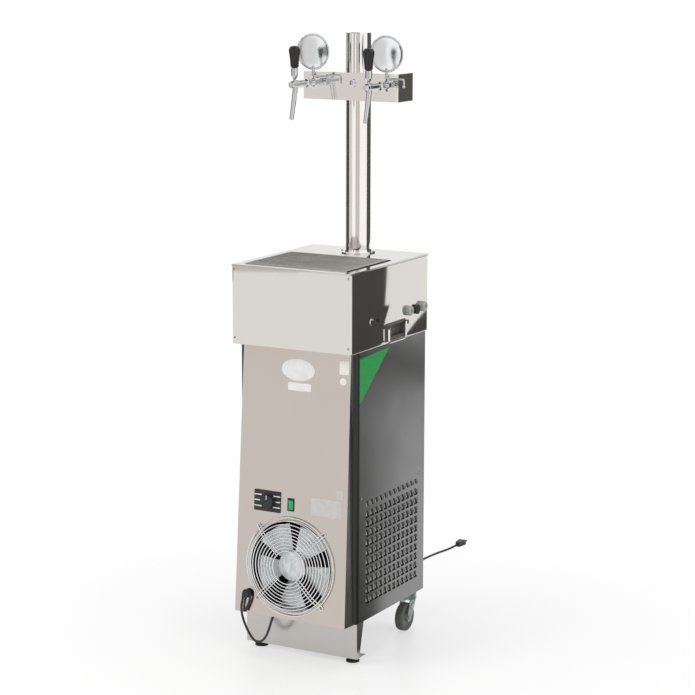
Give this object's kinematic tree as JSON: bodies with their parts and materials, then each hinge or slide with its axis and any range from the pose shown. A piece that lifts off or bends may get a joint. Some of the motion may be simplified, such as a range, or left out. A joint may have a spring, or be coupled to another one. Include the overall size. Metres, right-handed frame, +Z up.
{
  "type": "beer cooler",
  "caption": "Wheeled beer cooling cabinet with a drip tray in its head and a T-shaped column that carries compensator taps.",
  "frame": {"origin": "on the floor, under the middle of the cabinet's footprint", "axes": "+Z up, +X to the right seen from the front, -Y towards the person who draws the beer"},
  "size_m": [0.4583, 1.3735, 1.746],
  "materials": {
    "stainless": "brushed stainless steel, satin",
    "polished_steel": "polished stainless steel, mirror",
    "chrome_plate": "bright chrome plate",
    "black_enamel": "black stoved enamel, slightly textured",
    "zinc_steel": "zinc plated sheet",
    "rubber": "black rubber",
    "tyre_rubber": "grey castor tyre",
    "black_plastic": "moulded black plastic",
    "gloss_black": "glossy black plastic",
    "green_plastic": "translucent green rocker",
    "grey_plastic": "grey moulded plastic",
    "aluminium": "plain rolled aluminium",
    "foam_case": "foam filled water bath casing",
    "cord_jacket": "black cord jacket",
    "medallion_gloss": "glossy silver white face"
  },
  "bodies": {
    "cabinet": {"base_pan": "zinc_steel", "side_panel_left": "black_enamel", "side_panel_right": "black_enamel", "rear_panel": "black_enamel", "front_cover": "stainless", "plinth": "stainless", "castor_plate_left": "zinc_steel", "castor_plate_right": "zinc_steel", "head_shell": "stainless", "top_deck": "polished_steel", "drip_tray": "polished_steel", "handle_dish_left": "grey_plastic", "handle_dish_right": "grey_plastic", "inlet_couplings": "grey_plastic", "line_ports": "black_plastic", "column_flange": "polished_steel", "column_tube": "polished_steel", "column_cap": "polished_steel", "tap_bar": "polished_steel", "bar_end_left": "polished_steel", "bar_end_right": "polished_steel", "tap_body_left": "chrome_plate", "tap_body_right": "chrome_plate", "medallion_left": "medallion_gloss", "medallion_right": "medallion_gloss", "thermostat_plate": "black_plastic", "rocker_bezel": "black_plastic", "fan_guard": "chrome_plate", "fan_motor": "black_enamel", "condenser": "aluminium", "compressor": "black_enamel", "cooling_tank": "foam_case", "cord_gland": "black_plastic", "mains_cord_drop": "cord_jacket", "mains_coil": "cord_jacket", "mains_cord_lead": "cord_jacket", "mains_plug": "cord_jacket", "drain_hose": "cord_jacket", "hose_peg": "black_plastic", "panel_screws": "stainless"},
    "foot_left_body": {"foot_left": "rubber"},
    "foot_right_body": {"foot_right": "rubber"},
    "fork_left_body": {"castor_fork_left": "zinc_steel", "castor_axle_left": "zinc_steel"},
    "fork_right_body": {"castor_fork_right": "zinc_steel", "castor_axle_right": "zinc_steel"},
    "wheel_left_body": {"castor_wheel_left": "tyre_rubber"},
    "wheel_right_body": {"castor_wheel_right": "tyre_rubber"},
    "grille_body": {"drip_grille": "stainless"},
    "bail_left_body": {"handle_bail_left": "chrome_plate"},
    "bail_right_body": {"handle_bail_right": "chrome_plate"},
    "lever_left_body": {"tap_ferrule_left": "chrome_plate", "tap_handle_left": "gloss_black"},
    "lever_right_body": {"tap_ferrule_right": "chrome_plate", "tap_handle_right": "gloss_black"},
    "compensator_left_body": {"compensator_left": "chrome_plate"},
    "compensator_right_body": {"compensator_right": "chrome_plate"},
    "knob_body": {"thermostat_knob": "black_plastic"},
    "rocker_body": {"rocker": "green_plastic"},
    "rotor_body": {"fan_rotor": "aluminium"}
  },
  "joints": [
    {"name": "foot_left_adjust", "type": "slide", "parent": "cabinet", "child": "foot_left_body", "axis": [0, 0, 1], "range_m": [-0.012, 0.006]},
    {"name": "castor_left_swivel", "type": "hinge", "parent": "cabinet", "child": "fork_left_body", "pos_m": [-0.146, 0.218, 0.09], "axis": [0, 0, 1], "continuous": true},
    {"name": "castor_left_roll", "type": "hinge", "parent": "fork_left_body", "child": "wheel_left_body", "pos_m": [-0.146, 0.194, 0.0415], "axis": [1, 0, 0], "continuous": true},
    {"name": "bail_left_lift", "type": "hinge", "parent": "cabinet", "child": "bail_left_body", "pos_m": [-0.197, 0.043, 0.943], "axis": [0, 1, 0], "range_deg": [0, 90]},
    {"name": "tap_left_lever", "type": "hinge", "parent": "cabinet", "child": "lever_left_body", "pos_m": [-0.118, 0.013, 1.603], "axis": [1, 0, 0], "range_deg": [-12, 32]},
    {"name": "compensator_left_turn", "type": "hinge", "parent": "cabinet", "child": "compensator_left_body", "pos_m": [-0.106, 0.09, 1.606], "axis": [1, 0, 0], "range_deg": [-45, 45]},
    {"name": "foot_right_adjust", "type": "slide", "parent": "cabinet", "child": "foot_right_body", "axis": [0, 0, 1], "range_m": [-0.012, 0.006]},
    {"name": "castor_right_swivel", "type": "hinge", "parent": "cabinet", "child": "fork_right_body", "pos_m": [0.146, 0.218, 0.09], "axis": [0, 0, 1], "continuous": true},
    {"name": "castor_right_roll", "type": "hinge", "parent": "fork_right_body", "child": "wheel_right_body", "pos_m": [0.146, 0.194, 0.0415], "axis": [1, 0, 0], "continuous": true},
    {"name": "bail_right_lift", "type": "hinge", "parent": "cabinet", "child": "bail_right_body", "pos_m": [0.197, 0.043, 0.943], "axis": [0, -1, 0], "range_deg": [0, 90]},
    {"name": "tap_right_lever", "type": "hinge", "parent": "cabinet", "child": "lever_right_body", "pos_m": [0.118, 0.013, 1.603], "axis": [1, 0, 0], "range_deg": [-12, 32]},
    {"name": "compensator_right_turn", "type": "hinge", "parent": "cabinet", "child": "compensator_right_body", "pos_m": [0.13, 0.09, 1.606], "axis": [1, 0, 0], "range_deg": [-45, 45]},
    {"name": "grille_lift", "type": "slide", "parent": "cabinet", "child": "grille_body", "axis": [0, 0, 1], "range_m": [0, 0.05]},
    {"name": "thermostat_turn", "type": "hinge", "parent": "cabinet", "child": "knob_body", "pos_m": [-0.074, -0.20547, 0.45456], "axis": [0, -0.9981, 0.0623], "range_deg": [-135, 135]},
    {"name": "rocker_press", "type": "hinge", "parent": "cabinet", "child": "rocker_body", "pos_m": [-0.0045, -0.20257, 0.45288], "axis": [1, 0, 0], "range_deg": [-14, 0]},
    {"name": "fan_spin", "type": "hinge", "parent": "cabinet", "child": "rotor_body", "pos_m": [0, -0.18659, 0.27554], "axis": [0, -0.9981, 0.0623], "continuous": true}
  ]
}
